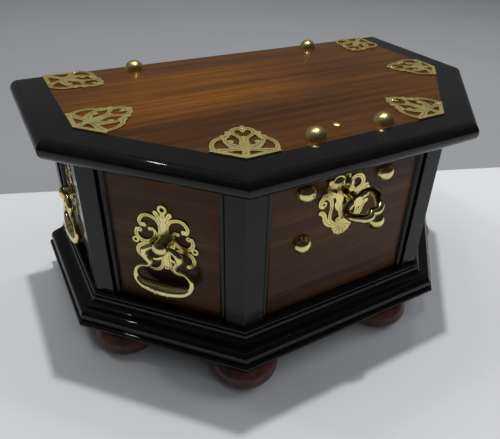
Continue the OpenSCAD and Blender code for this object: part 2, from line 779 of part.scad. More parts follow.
// right half of a bail: a scrolled arm, then a lobe that swells towards the middle of the foot
function half_bail() = [
    for (p = [[0.31, 0, 1.35], [0.41, 0.03, 1.6], [0.58, 0.1, 2], [0.64, 0.22, 2.1], [0.52, 0.33, 1.6],
              [0.44, 0.42, 1.2], [0.56, 0.475, 1], [0.76, 0.49, 1], [0.94, 0.57, 1.1], [1.04, 0.7, 1.4],
              [0.99, 0.85, 2.1], [0.75, 0.945, 3.1], [0.42, 0.985, 3.6], [0.2, 1, 3.7], [0, 1, 3.7]])
        [p[0] * bail_w, -p[1] * bail_drop, p[2] * bail_r]
];

module bail(i) {
    half = half_bail();
    last = len(half) - 1;
    path = concat(half, [for (k = [1:last]) let (p = half[last - k]) [-p[0], p[1], p[2]]]);
    grip_r = 3.9 * bail_r;
    color(brass) at_handle(i) translate([0, -plate_t - pivot_out, 0]) {
        swept_bar(curve(path, 3), 12);
        translate([-grip_w / 2, 0, -bail_drop]) rotate([0, 90, 0]) cylinder(r = grip_r, h = grip_w);
        for (s = [0, 1]) mirror([s, 0, 0]) {
            translate([0.8, 0, 0]) rotate([0, 90, 0]) cylinder(r = pivot_r, h = boss_r + 1);
            translate([grip_w / 2 + 1.6, 0, -bail_drop]) rotate([0, 90, 0])
                cylinder(r = grip_r + 0.3, h = 1.2);
        }
    }
}

// ---------- hinges ----------
knuckle = hinge_w / 3;

module at_hinge(x) { placed() translate([x * back_stud_x, hinge_out, lid_z]) children(); }

module barrel(x0, x1) {
    translate([x0, 0, 0]) rotate([0, 90, 0]) cylinder(r = knuckle_r, h = x1 - x0);
}

module pin_hole() {
    translate([-hinge_w, 0, 0]) rotate([0, 90, 0]) cylinder(r = hinge_pin_r + running_gap, h = 2 * hinge_w);
}

module back_leaf(x) {
    neck = knuckle_r + 0.7;
    color(brass) at_hinge(x) difference() {
        union() {
            for (s = [-1, 1]) barrel(s * hinge_w / 3 - knuckle / 2 + (s > 0 ? side_gap : 0),
                                     s * hinge_w / 3 + knuckle / 2 - (s < 0 ? side_gap : 0));
            difference() {
                translate([-hinge_w / 2, -hinge_out, -back_leaf_l]) cube([hinge_w, leaf_t, back_leaf_l]);
                translate([-knuckle / 2 - side_gap, -hinge_out - 1, -neck])
                    cube([knuckle + 2 * side_gap, leaf_t + 2, neck + 1]);
            }
        }
        pin_hole();
    }
}

module lid_leaf(x) {
    color(brass) at_hinge(x) difference() {
        union() {
            barrel(-knuckle / 2, knuckle / 2);
            translate([-knuckle / 2, -hinge_out - 1, 0]) cube([knuckle, hinge_out + 1, leaf_t]);
            translate([-hinge_w / 2, -hinge_out - lid_leaf_l, 0]) cube([hinge_w, lid_leaf_l, leaf_t]);
        }
        pin_hole();
        translate([0, -hinge_out - back_stud_in, -1]) cylinder(r = stud_shank_r + running_gap, h = leaf_t + 2);
    }
}

module hinge_pins() {
    color(brass) for (x = [-1, 1]) at_hinge(x) {
        translate([-hinge_w / 2 - 1.2, 0, 0]) rotate([0, 90, 0]) cylinder(r = hinge_pin_r, h = hinge_w + 2.4);
        for (s = [0, 1]) mirror([s, 0, 0]) translate([hinge_w / 2 + 0.1, 0, 0]) rotate([0, 90, 0])
            dome(hinge_pin_r + 1, 2.2);
    }
}

floor_board();
back_board();
handled_board(0);  // left_board
handled_board(1);  // left_canted_board
front_board();
handled_board(3);  // right_canted_board
handled_board(4);  // right_board
post(0);  // back_left_post
post(1);  // left_post
post(2);  // front_left_post
post(3);  // front_right_post
post(4);  // right_post
post(5);  // back_right_post
plinth(0);  // left_plinth
plinth(1);  // left_canted_plinth
plinth(2);  // front_plinth
plinth(3);  // right_canted_plinth
plinth(4);  // right_plinth
back_plinth();
foot(0);  // back_left_foot
foot(1);  // left_foot
foot(2);  // front_left_foot
foot(3);  // front_right_foot
foot(4);  // right_foot
foot(5);  // back_right_foot
lock_case();
lock_plate();
lock_studs();
cover_rivet();
handle_plate(0);  // left_handle_plate
handle_plate(1);  // left_canted_handle_plate
handle_plate(3);  // right_canted_handle_plate
handle_plate(4);  // right_handle_plate
handle_bosses();
back_leaf(-1);  // left_back_leaf
back_leaf(1);  // right_back_leaf
hinge_pins();
lid_board();
lid_moulding(0);  // left_lid_moulding
lid_moulding(1);  // left_canted_lid_moulding
lid_moulding(2);  // front_lid_moulding
lid_moulding(3);  // right_canted_lid_moulding
lid_moulding(4);  // right_lid_moulding
corner_mount(0);  // back_left_mount
corner_mount(1);  // left_mount
corner_mount(2);  // front_left_mount
corner_mount(3);  // front_right_mount
corner_mount(4);  // right_mount
corner_mount(5);  // back_right_mount
lid_studs();
catch_plate();
lid_leaf(-1);  // left_lid_leaf
lid_leaf(1);  // right_lid_leaf
bail(0);  // left_bail
bail(1);  // left_canted_bail
bail(3);  // right_canted_bail
bail(4);  // right_bail
key();
lock_bolt();
keyhole_cover();
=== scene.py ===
"""The wooden money box: figured wood, ebonised mouldings and pierced brass over its CAD frame."""
import json
import logging
import math
from dataclasses import dataclass, field
from enum import Enum
from typing import Iterable, Sequence

import bmesh
import bpy
from mathutils import Matrix, Vector

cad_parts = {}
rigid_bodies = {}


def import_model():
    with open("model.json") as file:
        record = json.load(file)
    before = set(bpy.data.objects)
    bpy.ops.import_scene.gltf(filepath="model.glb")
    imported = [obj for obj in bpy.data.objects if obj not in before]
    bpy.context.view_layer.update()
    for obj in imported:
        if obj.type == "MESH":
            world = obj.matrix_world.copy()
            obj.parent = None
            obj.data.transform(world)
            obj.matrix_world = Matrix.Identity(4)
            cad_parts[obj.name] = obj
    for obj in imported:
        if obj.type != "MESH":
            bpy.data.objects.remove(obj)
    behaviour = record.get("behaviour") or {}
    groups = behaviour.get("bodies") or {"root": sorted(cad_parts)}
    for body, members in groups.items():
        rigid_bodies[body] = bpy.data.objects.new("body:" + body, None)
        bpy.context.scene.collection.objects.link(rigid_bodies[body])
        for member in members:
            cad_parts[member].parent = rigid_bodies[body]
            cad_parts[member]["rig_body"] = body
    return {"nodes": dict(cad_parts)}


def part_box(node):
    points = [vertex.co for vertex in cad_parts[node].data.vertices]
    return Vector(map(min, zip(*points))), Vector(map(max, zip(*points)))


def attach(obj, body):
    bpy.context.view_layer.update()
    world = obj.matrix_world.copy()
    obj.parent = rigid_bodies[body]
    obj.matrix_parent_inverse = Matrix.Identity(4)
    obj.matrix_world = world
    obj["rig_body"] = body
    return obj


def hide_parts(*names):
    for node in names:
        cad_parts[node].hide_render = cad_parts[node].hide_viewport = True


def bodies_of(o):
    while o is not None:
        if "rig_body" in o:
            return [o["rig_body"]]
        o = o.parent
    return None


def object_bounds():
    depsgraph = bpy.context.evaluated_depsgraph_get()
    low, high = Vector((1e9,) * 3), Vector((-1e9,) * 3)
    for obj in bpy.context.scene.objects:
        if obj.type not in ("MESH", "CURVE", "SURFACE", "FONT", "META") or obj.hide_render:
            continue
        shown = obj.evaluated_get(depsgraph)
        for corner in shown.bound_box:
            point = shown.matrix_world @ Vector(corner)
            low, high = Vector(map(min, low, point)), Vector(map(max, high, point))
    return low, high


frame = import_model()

LOG = logging.getLogger("money_box")
CAD_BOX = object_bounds()
MM = 0.001

Colour = tuple[float, float, float]
Point = tuple[float, float, float]
Spot = tuple[float, float]
Chain = tuple[Spot, ...]
Material = bpy.types.Material
NodeTree = bpy.types.NodeTree
Object = bpy.types.Object
Socket = bpy.types.NodeSocket


class Corner(Enum):
    """The six corners of the case, each with the name its nodes begin with."""

    BACK_LEFT = "back_left"
    LEFT = "left"
    FRONT_LEFT = "front_left"
    FRONT_RIGHT = "front_right"
    RIGHT = "right"
    BACK_RIGHT = "back_right"


class Side(Enum):
    """The sides of the case, with the direction their grain runs in, in degrees from the X axis."""

    LEFT = ("left", 90.0)
    LEFT_CANTED = ("left_canted", -47.4)
    FRONT = ("front", 0.0)
    RIGHT_CANTED = ("right_canted", 47.4)
    RIGHT = ("right", 90.0)
    BACK = ("back", 0.0)

    @property
    def word(self) -> str:
        """The name its nodes begin with."""
        return self.value[0]

    @property
    def heading(self) -> float:
        """The direction its grain runs in, in degrees from the X axis."""
        return self.value[1]


def grow(tree: NodeTree, kind: str, feeds: dict, **settings: object) -> bpy.types.Node:
    """Adds a node to a tree.

    Args:
        tree: The tree.
        kind: The node's type.
        feeds: Its inputs by name or number, each a socket to link or a value to set.
        **settings: Its properties.

    Returns:
        The new node.
    """
    node = tree.nodes.new(kind)
    for word, value in settings.items():
        setattr(node, word, value)
    for key, value in feeds.items():
        if isinstance(value, Socket):
            tree.links.new(value, node.inputs[key])
        else:
            node.inputs[key].default_value = value
    return node


class Shader:
    """A material under construction: a Principled surface and the nodes that feed it."""

    def __init__(self, name: str) -> None:
        """Starts the material with its surface alone.

        Args:
            name: The material's name.
        """
        self.material = bpy.data.materials.new(name)
        self.material.use_nodes = True
        self.tree = self.material.node_tree
        self.tree.nodes.clear()
        self.surface = self.add("ShaderNodeBsdfPrincipled", {})
        self.add("ShaderNodeOutputMaterial", {"Surface": self.surface.outputs[0]})
        self.object_space = self.add("ShaderNodeTexCoord", {}).outputs["Object"]

    def add(self, kind: str, feeds: dict, **settings: object) -> bpy.types.Node:
        """Adds a node to the material."""
        return grow(self.tree, kind, feeds, **settings)

    def along(self, heading: float, scale: Point, shift: Point = (0.0, 0.0, 0.0)) -> Socket:
        """Object coordinates turned so that X runs along the grain, then scaled.

        Args:
            heading: The grain's direction in degrees from the X axis.
            scale: How many features fit into a metre, along the grain and across it.
            shift: Where the pattern starts.

        Returns:
            The coordinates' socket.
        """
        turned = self.add("ShaderNodeMapping", {"Vector": self.object_space,
                                                "Rotation": (0.0, 0.0, -math.radians(heading))})
        return self.add("ShaderNodeMapping", {"Vector": turned.outputs[0], "Scale": scale,
                                              "Location": shift}).outputs[0]

    def noise(self, at: Socket, detail: float = 3.0, rough: float = 0.5,
              bend: float = 0.0) -> Socket:
        """Noise of about one feature to the unit of its coordinates.

        Args:
            at: The coordinates.
            detail: Its octaves.
            rough: How strong the fine octaves are.
            bend: How much it is distorted.

        Returns:
            Its value, about 0.3 to 0.7.
        """
        feeds = {"Vector": at, "Scale": 1.0, "Detail": detail, "Roughness": rough,
                 "Distortion": bend}
        return self.add("ShaderNodeTexNoise", feeds).outputs["Fac"]

    def cloud(self, scale: float, *look: float) -> Socket:
        """Noise with as many features to the metre each way, and with noise()'s other settings."""
        return self.noise(self.along(0.0, (scale, scale, scale)), *look)

    def span(self, value: Socket, low: float, high: float, to_low: float = 0.0,
             to_high: float = 1.0) -> Socket:
        """A value carried smoothly from one range to another, and held there outside it."""
        feeds = {"Value": value, "From Min": low, "From Max": high, "To Min": to_low,
                 "To Max": to_high}
        node = self.add("ShaderNodeMapRange", feeds, interpolation_type="SMOOTHSTEP")
        return node.outputs["Result"]

    def sum(self, one: Socket, other: Socket | float, share: float = 1.0) -> Socket:
        """One value plus a share of another."""
        return self.add("ShaderNodeMath", {0: other, 1: share, 2: one},
                        operation="MULTIPLY_ADD").outputs[0]

    def ramp(self, value: Socket, stops: Sequence[tuple[float, Colour]]) -> Socket:
        """Colours along a value.

        Args:
            value: The value.
            stops: Places from 0 to 1, each with its colour.

        Returns:
            The colour's socket.
        """
        node = self.add("ShaderNodeValToRGB", {"Fac": value})
        line = node.color_ramp
        line.interpolation = "EASE"
        while len(line.elements) < len(stops):
            line.elements.new(0.5)
        for element, (place, colour) in zip(line.elements, stops):
            element.position = place
            element.color = (*colour, 1.0)
        return node.outputs["Color"]

    def blend(self, amount: Socket | float, one: Socket | Colour, other: Socket | Colour,
              way: str = "MIX") -> Socket:
        """Two colours mixed.

        Args:
            amount: How much of the second.
            one: The first colour.
            other: The second colour.
            way: The way of mixing.

        Returns:
            The colour's socket.
        """
        pair = [c if isinstance(c, Socket) else (*c, 1.0) for c in (one, other)]
        return self.add("ShaderNodeMix", {"Factor": amount, 6: pair[0], 7: pair[1]},
                        data_type="RGBA", blend_type=way).outputs[2]

    def bump(self, height: Socket, depth: float, strength: float,
             over: Socket | None = None) -> Socket:
        """Relief on the surface.

        Args:
            height: The relief, 0 to 1.
            depth: What 1 stands for, in metres.
            strength: How much of it shows.
            over: Relief that this one is laid over.

        Returns:
            The normal's socket.
        """
        feeds: dict = {"Height": height, "Distance": depth, "Strength": strength}
        if over is not None:
            feeds["Normal"] = over
        return self.add("ShaderNodeBump", feeds).outputs["Normal"]

    def worn(self) -> Socket:
        """The attribute that marks the eased edges of a piece."""
        return self.add("ShaderNodeAttribute", {}, attribute_name="eased").outputs["Fac"]

    def rubbed(self, colour: Socket, bare: Colour, amount: float) -> Socket:
        """A colour with some of another on the eased edges."""
        return self.blend(self.span(self.worn(), 0.0, 1.0, 0.0, amount), colour, bare)

    def set(self, **values: object) -> Material:
        """Feeds the surface and hands over the material.

        Args:
            **values: Inputs of the surface, with spaces written as underscores.

        Returns:
            The material.
        """
        for word, value in values.items():
            socket = self.surface.inputs[word.replace("_", " ")]
            if isinstance(value, Socket):
                self.tree.links.new(value, socket)
            else:
                socket.default_value = (*value, 1.0) if isinstance(value, tuple) else value
        return self.material


@dataclass(frozen=True)
class Palette:
    """A wood's colours, from its darkest streaks to its brightest."""

    dark: Colour
    mid: Colour
    light: Colour
    glow: Colour


@dataclass(frozen=True)
class FiguredWood:
    """A polished wood with streaks along the grain, fine fibres and open pores, and where asked a
    painted sheen.

    The layers' scales are features to the metre, along the grain and across it.
    """

    name: str
    palette: Palette
    heading: float = 0.0
    streaks: Point = (3.5, 55.0, 55.0)
    shift: Point = (0.0, 0.0, 0.0)
    coat: float = 0.16
    # The painted sheen: how strong it is, its centre in metres, how fast it fades each way, and its
    # tint.
    painted_sheen: float = 0.0
    painted_sheen_at: Point = (-0.075, 0.040, 0.199)
    painted_sheen_reach: Point = (6.5, 11.0, 1.0)
    painted_sheen_tint: Colour = (2.1, 1.9, 0.7)
    clouds: Point = (3.0, 9.0, 9.0)
    ribbons: Point = (2.2, 300.0, 300.0)
    fibres: Point = (28.0, 1500.0, 1500.0)
    fibre_tint: Colour = (0.42, 0.34, 0.30)
    pores: Point = (110.0, 2300.0, 2300.0)
    pore_shade: float = 0.4
    pore_depth: float = 0.00006
    coat_roughness: float = 0.07
    specular: float = 0.16
    specular_tint: Colour = (1.0, 0.55, 0.22)

    def layer(self, s: Shader, scale: Point, *look: float) -> Socket:
        """Noise along the wood's grain, with noise()'s other settings."""
        return s.noise(s.along(self.heading, scale, self.shift), *look)

    def material(self) -> Material:
        """Builds the wood's material.

        Returns:
            The material.
        """
        s, wood = Shader(self.name), self.palette
        slow = self.layer(s, self.clouds, 2.0)
        figure = self.layer(s, self.streaks, 5.0, 0.55, 0.6)
        ribbon = self.layer(s, self.ribbons, 2.0, 0.6, 0.3)
        fibre = self.layer(s, self.fibres, 3.0, 0.7)
        pores = s.span(s.noise(s.along(self.heading, self.pores), 1.0), 0.60, 0.70)
        tone = s.sum(s.sum(s.sum(figure, slow, 0.75), ribbon, 0.22), -0.485)
        colour = s.ramp(tone, [(0.30, wood.dark), (0.46, wood.mid), (0.60, wood.light),
                               (0.76, wood.glow)])
        colour = s.blend(s.span(fibre, 0.35, 0.65, 0.0, 0.42), colour,
                         s.blend(1.0, colour, self.fibre_tint, "MULTIPLY"))
        colour = s.blend(s.span(pores, 0.0, 1.0, 0.0, 0.55), colour,
                         tuple(c * self.pore_shade for c in wood.dark))
        # Painted sheen: a brighter patch painted into the colour where the polish would gleam.
        if self.painted_sheen:
            colour = self.painted_sheen_patch(s, colour, slow)
        colour = s.rubbed(colour, wood.light, 0.3)
        relief = s.bump(s.sum(s.span(pores, 0.0, 1.0, 1.0, 0.0), fibre, 0.25), self.pore_depth, 0.5)
        return s.set(Base_Color=colour, Roughness=s.span(figure, 0.3, 0.7, 0.30, 0.42),
                     Normal=relief, Coat_Weight=self.coat, Coat_Roughness=self.coat_roughness,
                     Specular_IOR_Level=self.specular, Specular_Tint=self.specular_tint)

    def painted_sheen_patch(self, s: Shader, colour: Socket, ragged: Socket) -> Socket:
        """Paints a sheen into the colour: a brighter, tinted patch round one fixed place, a painted
        highlight.

        Args:
            s: The material.
            colour: The wood's colour.
            ragged: Noise that breaks up the patch's edge.

        Returns:
            The colour's socket.
        """
        away = s.add("ShaderNodeVectorMath", {0: s.object_space, 1: self.painted_sheen_at},
                     operation="SUBTRACT")
        flat = s.add("ShaderNodeVectorMath", {0: away.outputs[0], 1: self.painted_sheen_reach},
                     operation="MULTIPLY")
        far = s.add("ShaderNodeVectorMath", {0: flat.outputs[0]}, operation="LENGTH")
        # How strong the painted sheen is here, fading out from its centre with a ragged edge.
        glow = s.span(s.sum(far.outputs["Value"], ragged, -0.6), -0.2, 0.75, self.painted_sheen, 0.0)
        return s.blend(glow, colour, s.blend(1.0, colour, self.painted_sheen_tint, "MULTIPLY"))


@dataclass(frozen=True)
class Ebonised:
    """Black polished wood: brown showing through on eased edges, faint grain and a deep polish."""

    name: str
    heading: float = 0.0
    black: Colour = (0.0060, 0.0057, 0.0057)
    brown: Colour = (0.040, 0.020, 0.011)
    grain: Point = (18.0, 420.0, 420.0)
    clouds: float = 38.0
    grain_depth: float = 0.00005
    coat: float = 0.55
    coat_roughness: float = 0.035
    specular: float = 0.03

    def material(self) -> Material:
        """Builds the black polish's material.

        Returns:
            The material.
        """
        s = Shader(self.name)
        grain = s.noise(s.along(self.heading, self.grain), 4.0, 0.65)
        cloud = s.cloud(self.clouds, 4.0, 0.6)
        rub = s.span(s.sum(s.worn(), cloud, 0.9), 0.95, 1.6)
        colour = s.blend(s.span(grain, 0.52, 0.78, 0.0, 0.35), self.black, self.brown)
        colour = s.blend(s.span(rub, 0.0, 1.0, 0.0, 0.65), colour, self.brown)
        return s.set(Base_Color=colour, Roughness=s.span(cloud, 0.35, 0.65, 0.20, 0.34),
                     Normal=s.bump(grain, self.grain_depth, 0.30), Coat_Weight=self.coat,
                     Coat_Roughness=self.coat_roughness, Specular_IOR_Level=self.specular)


@dataclass(frozen=True)
class TurnedWood:
    """The feet's red-brown satin wood, with the turning's fine rings."""

    name: str
    dark: Colour = (0.030, 0.0075, 0.0060)
    red: Colour = (0.105, 0.024, 0.018)
    heading: float = 28.0
    grain: Point = (14.0, 210.0, 210.0)
    clouds: float = 30.0
    rings: Point = (14.0, 14.0, 1500.0)
    ring_depth: float = 0.00006
    grain_depth: float = 0.00008
    coat: float = 0.2
    coat_roughness: float = 0.25
    specular: float = 0.45

    def material(self) -> Material:
        """Builds the turned wood's material.

        Returns:
            The material.
        """
        s = Shader(self.name)
        grain = s.noise(s.along(self.heading, self.grain), 5.0, 0.6, 0.4)
        cloud = s.cloud(self.clouds, 3.0)
        rings = s.noise(s.along(0.0, self.rings), 2.0, 0.7)
        tone = s.sum(grain, s.sum(cloud, -0.5), 0.5)
        colour = s.ramp(tone, [(0.34, self.dark), (0.66, self.red)])
        relief = s.bump(rings, self.ring_depth, 0.35, s.bump(grain, self.grain_depth, 0.3))
        return s.set(Base_Color=s.rubbed(colour, self.red, 0.4), Normal=relief,
                     Roughness=s.span(cloud, 0.35, 0.65, 0.34, 0.5), Coat_Weight=self.coat,
                     Coat_Roughness=self.coat_roughness, Specular_IOR_Level=self.specular)


@dataclass(frozen=True)
class Brass:
    """Brass with a little tarnish, handling marks and brighter rubbed edges.

    Its roughness runs from shine to dullness, and spread is how far it is tarnished.
    """

    name: str
    bright: Colour
    tarnish: Colour
    shine: float
    dullness: float
    spread: float
    clouds: float = 70.0
    marks: Point = (90.0, 2600.0, 1100.0)
    mark_heading: float = 31.0
    mark_depth: float = 0.00002
    pits: float = 900.0
    pit_depth: float = 0.00003

    def material(self) -> Material:
        """Builds the brass's material.

        Returns:
            The material.
        """
        s = Shader(self.name)
        cloud = s.cloud(self.clouds, 5.0, 0.6, 0.5)
        marks = s.noise(s.along(self.mark_heading, self.marks), 2.0, 0.6)
        pits = s.cloud(self.pits, 2.0, 0.5)
        colour = s.blend(s.span(cloud, 0.40, 0.68, 0.0, self.spread), self.bright, self.tarnish)
        rough = s.span(s.sum(cloud, marks, 0.4), 0.5, 0.9, self.shine, self.dullness)
        relief = s.bump(marks, self.mark_depth, 0.22, s.bump(pits, self.pit_depth, 0.18))
        return s.set(Base_Color=s.rubbed(colour, self.bright, 0.55), Metallic=1.0, Roughness=rough,
                     Normal=relief)


@dataclass(frozen=True)
class Iron:
    """Dark hand-filed iron of the lock's case and bolt."""

    name: str
    bright: Colour = (0.36, 0.35, 0.34)
    rust: Colour = (0.09, 0.055, 0.035)
    metallic: float = 0.9
    clouds: float = 60.0
    file_marks: Point = (60.0, 2400.0, 2400.0)
    file_heading: float = 18.0
    file_depth: float = 0.00004

    def material(self) -> Material:
        """Builds the iron's material.

        Returns:
            The material.
        """
        s = Shader(self.name)
        cloud = s.cloud(self.clouds, 5.0, 0.65)
        filed = s.noise(s.along(self.file_heading, self.file_marks), 2.0, 0.6)
        colour = s.blend(s.span(cloud, 0.45, 0.7, 0.15, 0.85), self.bright, self.rust)
        return s.set(Base_Color=colour, Metallic=self.metallic,
                     Roughness=s.span(cloud, 0.4, 0.7, 0.32, 0.6),
                     Normal=s.bump(filed, self.file_depth, 0.4))


PANEL_COLOURS = Palette((0.0180, 0.0078, 0.0048), (0.044, 0.0185, 0.0100), (0.080, 0.0350, 0.0165),
                        (0.130, 0.060, 0.0270))
FLOOR_COLOURS = Palette((0.030, 0.013, 0.009), (0.075, 0.032, 0.018), (0.120, 0.055, 0.028),
                        (0.17, 0.085, 0.042))
LID_COLOURS = Palette((0.058, 0.0230, 0.0066), (0.090, 0.0345, 0.0076), (0.118, 0.0462, 0.0084),
                      (0.165, 0.0680, 0.0100))
MOUNT_BRASS = Brass("mount_brass", (0.95, 0.82, 0.35), (0.64, 0.52, 0.18), 0.38, 0.52, 0.6)
PLATE_BRASS = Brass("plate_brass", (0.86, 0.73, 0.29), (0.54, 0.42, 0.13), 0.20, 0.34, 0.55)
POLISHED_BRASS = Brass("polished_brass", (0.86, 0.72, 0.33), (0.46, 0.33, 0.12), 0.07, 0.17, 0.40)
STUD_BRASS = Brass("stud_brass", (0.96, 0.78, 0.31), (0.60, 0.44, 0.14), 0.24, 0.36, 0.5)
PIN_BRASS = Brass("pin_brass", (0.86, 0.73, 0.34), (0.50, 0.36, 0.13), 0.12, 0.24, 0.5)
CHASED_BRASS = Brass("chased_brass", (0.10, 0.075, 0.028), (0.05, 0.035, 0.014), 0.45, 0.6, 0.7)


@dataclass
class Bench:
    """Makes finished pieces and gives them to their bodies. Angles are in degrees."""

    made: int = 0
    weld: float = 2e-6
    level: float = 0.4
    sharp: float = 38.0
    rounds: int = 2
    item_smooth: float = 40.0

    def shaped(self, name: str, form: bmesh.types.BMesh, finish: Material, smooth: float) -> Object:
        """Turns a mesh into an object with level flats and smooth rounds.

        Args:
            name: The piece's name.
            form: The mesh, in metres and in place; it is freed.
            finish: The piece's material.
            smooth: Edges sharper than this stay sharp, in degrees.

        Returns:
            The object, at the origin.
        """
        mesh = bpy.data.meshes.new(name)
        form.to_mesh(mesh)
        form.free()
        mesh.materials.append(finish)
        mesh.shade_smooth()
        mesh.set_sharp_from_angle(angle=math.radians(smooth))
        piece = bpy.data.objects.new(name, mesh)
        bpy.context.scene.collection.objects.link(piece)
        level = piece.modifiers.new("level", "WEIGHTED_NORMAL")
        level.keep_sharp = True
        self.bake(piece)
        return piece

    def bake(self, piece: Object) -> None:
        """Makes what a piece's modifiers give its own mesh, and removes them.

        Args:
            piece: The piece.
        """
        scene = bpy.context.evaluated_depsgraph_get()
        result = bpy.data.meshes.new_from_object(piece.evaluated_get(scene), depsgraph=scene,
                                                 preserve_all_data_layers=True)
        result.name = piece.name
        piece.modifiers.clear()
        piece.data = result

    def eased(self, node: str, finish: Material, ease: float, smooth: float = 34.0) -> Object:
        """A welded copy of a CAD node with its sharp edges eased, which stands for the node.

        Args:
            node: The CAD node.
            finish: Its material.
            ease: How wide the edges are eased, in millimetres; 0 leaves them.
            smooth: Edges sharper than this stay sharp afterwards, in degrees.

        Returns:
            The piece.
        """
        form = bmesh.new()
        form.from_mesh(frame["nodes"][node].data)
        bmesh.ops.remove_doubles(form, verts=form.verts, dist=self.weld)
        bmesh.ops.dissolve_limit(form, angle_limit=math.radians(self.level), verts=form.verts,
                                 edges=form.edges, use_dissolve_boundaries=False)
        mark = form.faces.layers.float.new("eased")
        if ease:
            limit = math.radians(self.sharp)
            edges = [edge for edge in form.edges
                     if len(edge.link_faces) == 2 and edge.calc_face_angle(0.0) > limit]
            new = bmesh.ops.bevel(form, geom=edges, offset=ease * MM, offset_type="OFFSET",
                                  segments=self.rounds, profile=0.5, affect="EDGES",
                                  clamp_overlap=True, miter_outer="SHARP")
            for face in new["faces"]:
                face[mark] = 1.0
        piece = self.shaped("shown_" + node, form, finish, smooth)
        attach(piece, body_of(node))
        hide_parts(node)
        self.made += 1
        LOG.info("%s stands for %s: %d faces", piece.name, node, len(piece.data.polygons))
        return piece

    def grown(self, name: str, body: str, tree: NodeTree, spots: Sequence[Vector],
              edges: Sequence[tuple[int, int]] = (), facing: Sequence[Vector] = (),
              **sizes: float) -> Object:
        """Runs a node tree over points or lines and keeps the result as a plain mesh on a body.

        Args:
            name: The piece's name.
            body: The body that the piece rides on.
            tree: The tree.
            spots: The points.
            edges: Pairs of points that are joined.
            facing: The way that each point's item faces, for a tree that sets items.
            **sizes: Values of the tree's named inputs.

        Returns:
            The piece.
        """
        mesh = bpy.data.meshes.new(name)
        mesh.from_pydata([spot[:] for spot in spots], edges, [])
        if facing:
            ways = mesh.attributes.new("facing", "FLOAT_VECTOR", "POINT")
            for item, way in zip(ways.data, facing):
                item.vector = way.normalized()
        piece = bpy.data.objects.new(name, mesh)
        bpy.context.scene.collection.objects.link(piece)
        run_tree(piece, tree, sizes)
        self.bake(piece)
        piece.data.shade_smooth()
        if facing:
            piece.data.set_sharp_from_angle(angle=math.radians(self.item_smooth))
        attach(piece, body)
        self.made += 1
        LOG.info("%s: %d points, %d faces", name, len(spots), len(piece.data.polygons))
        return piece


def body_of(node: str) -> str:
    """The body that a CAD node belongs to.

    Args:
        node: The node's name.

    Returns:
        The body's name.
    """
    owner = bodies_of(frame["nodes"][node])
    return owner if isinstance(owner, str) else owner[0]


def run_tree(piece: Object, tree: NodeTree, sizes: dict[str, float]) -> None:
    """Puts a node tree on a piece and sets its named inputs.

    Args:
        piece: The piece.
        tree: The tree.
        sizes: Input names and values.
    """
    modifier = piece.modifiers.new(tree.name, "NODES")
    modifier.node_group = tree
    for item in tree.interface.items_tree:
        if item.item_type == "SOCKET" and item.in_out == "INPUT" and item.name in sizes:
            modifier[item.identifier] = sizes[item.name]


class Tree:
    """A Geometry Nodes tree under construction, with named size inputs."""

    def __init__(self, name: str, sizes: dict[str, float]) -> None:
        """Starts the tree.

        Args:
            name: Its name.
            sizes: Its inputs, each with its usual value.
        """
        self.group = bpy.data.node_groups.new(name, "GeometryNodeTree")
        face = self.group.interface
        face.new_socket("Geometry", in_out="INPUT", socket_type="NodeSocketGeometry")
        for word, value in sizes.items():
            socket = face.new_socket(word, in_out="INPUT", socket_type="NodeSocketFloat")
            socket.default_value = value
        face.new_socket("Geometry", in_out="OUTPUT", socket_type="NodeSocketGeometry")
        self.given = self.group.nodes.new("NodeGroupInput").outputs

    def add(self, kind: str, feeds: dict, **settings: object) -> bpy.types.NodeOutputs:
        """Adds a node and hands over its outputs."""
        return grow(self.group, kind, feeds, **settings).outputs

    def times(self, value: Socket, factor: float) -> Socket:
        """A value times a number."""
        return self.add("ShaderNodeMath", {0: value, 1: factor}, operation="MULTIPLY")[0]

    def vector(self, x: Socket | float, y: Socket | float, z: Socket | float) -> Socket:
        """A vector of three values."""
        return self.add("ShaderNodeCombineXYZ", {0: x, 1: y, 2: z})[0]

    def placed(self, item: Socket) -> Socket:
        """Sets an item at each point, facing as the point's attribute says.

        Args:
            item: The item's geometry, facing up.

        Returns:
            The instances.
        """
        facing = self.add("GeometryNodeInputNamedAttribute", {"Name": "facing"},
                          data_type="FLOAT_VECTOR")
        turn = self.add("FunctionNodeAlignRotationToVector", {"Vector": facing[0]}, axis="Z")[0]
        points = self.add("GeometryNodeMeshToPoints", {"Mesh": self.given["Geometry"]})[0]
        return self.add("GeometryNodeInstanceOnPoints", {"Points": points, "Instance": item,
                                                         "Rotation": turn})[0]

    def finish(self, shape: Socket, finish: Material) -> NodeTree:
        """Ends the tree: its instances become real and take their material.

        Args:
            shape: The geometry.
            finish: Its material.

        Returns:
            The tree.
        """
        real = self.add("GeometryNodeRealizeInstances", {"Geometry": shape})[0]
        dressed = self.add("GeometryNodeSetMaterial", {"Geometry": real, "Material": finish})[0]
        self.add("NodeGroupOutput", {0: dressed})
        return self.group


def pin_tree(finish: Material) -> NodeTree:
    """A tree that sets a low domed pin at each place, facing as the place's attribute says.

    Args:
        finish: The pins' material.

    Returns:
        The tree, with the inputs Radius and Height.
    """
    t = Tree("domed_pins", {"Radius": 0.0008, "Height": 0.0004})
    radius, height = t.given["Radius"], t.given["Height"]
    ball = t.add("GeometryNodeMeshUVSphere", {"Segments": 16, "Rings": 10})[0]
    pin = t.add("GeometryNodeTransform", {"Geometry": ball,
                                          "Scale": t.vector(radius, radius, height)})[0]
    return t.finish(t.placed(pin), finish)


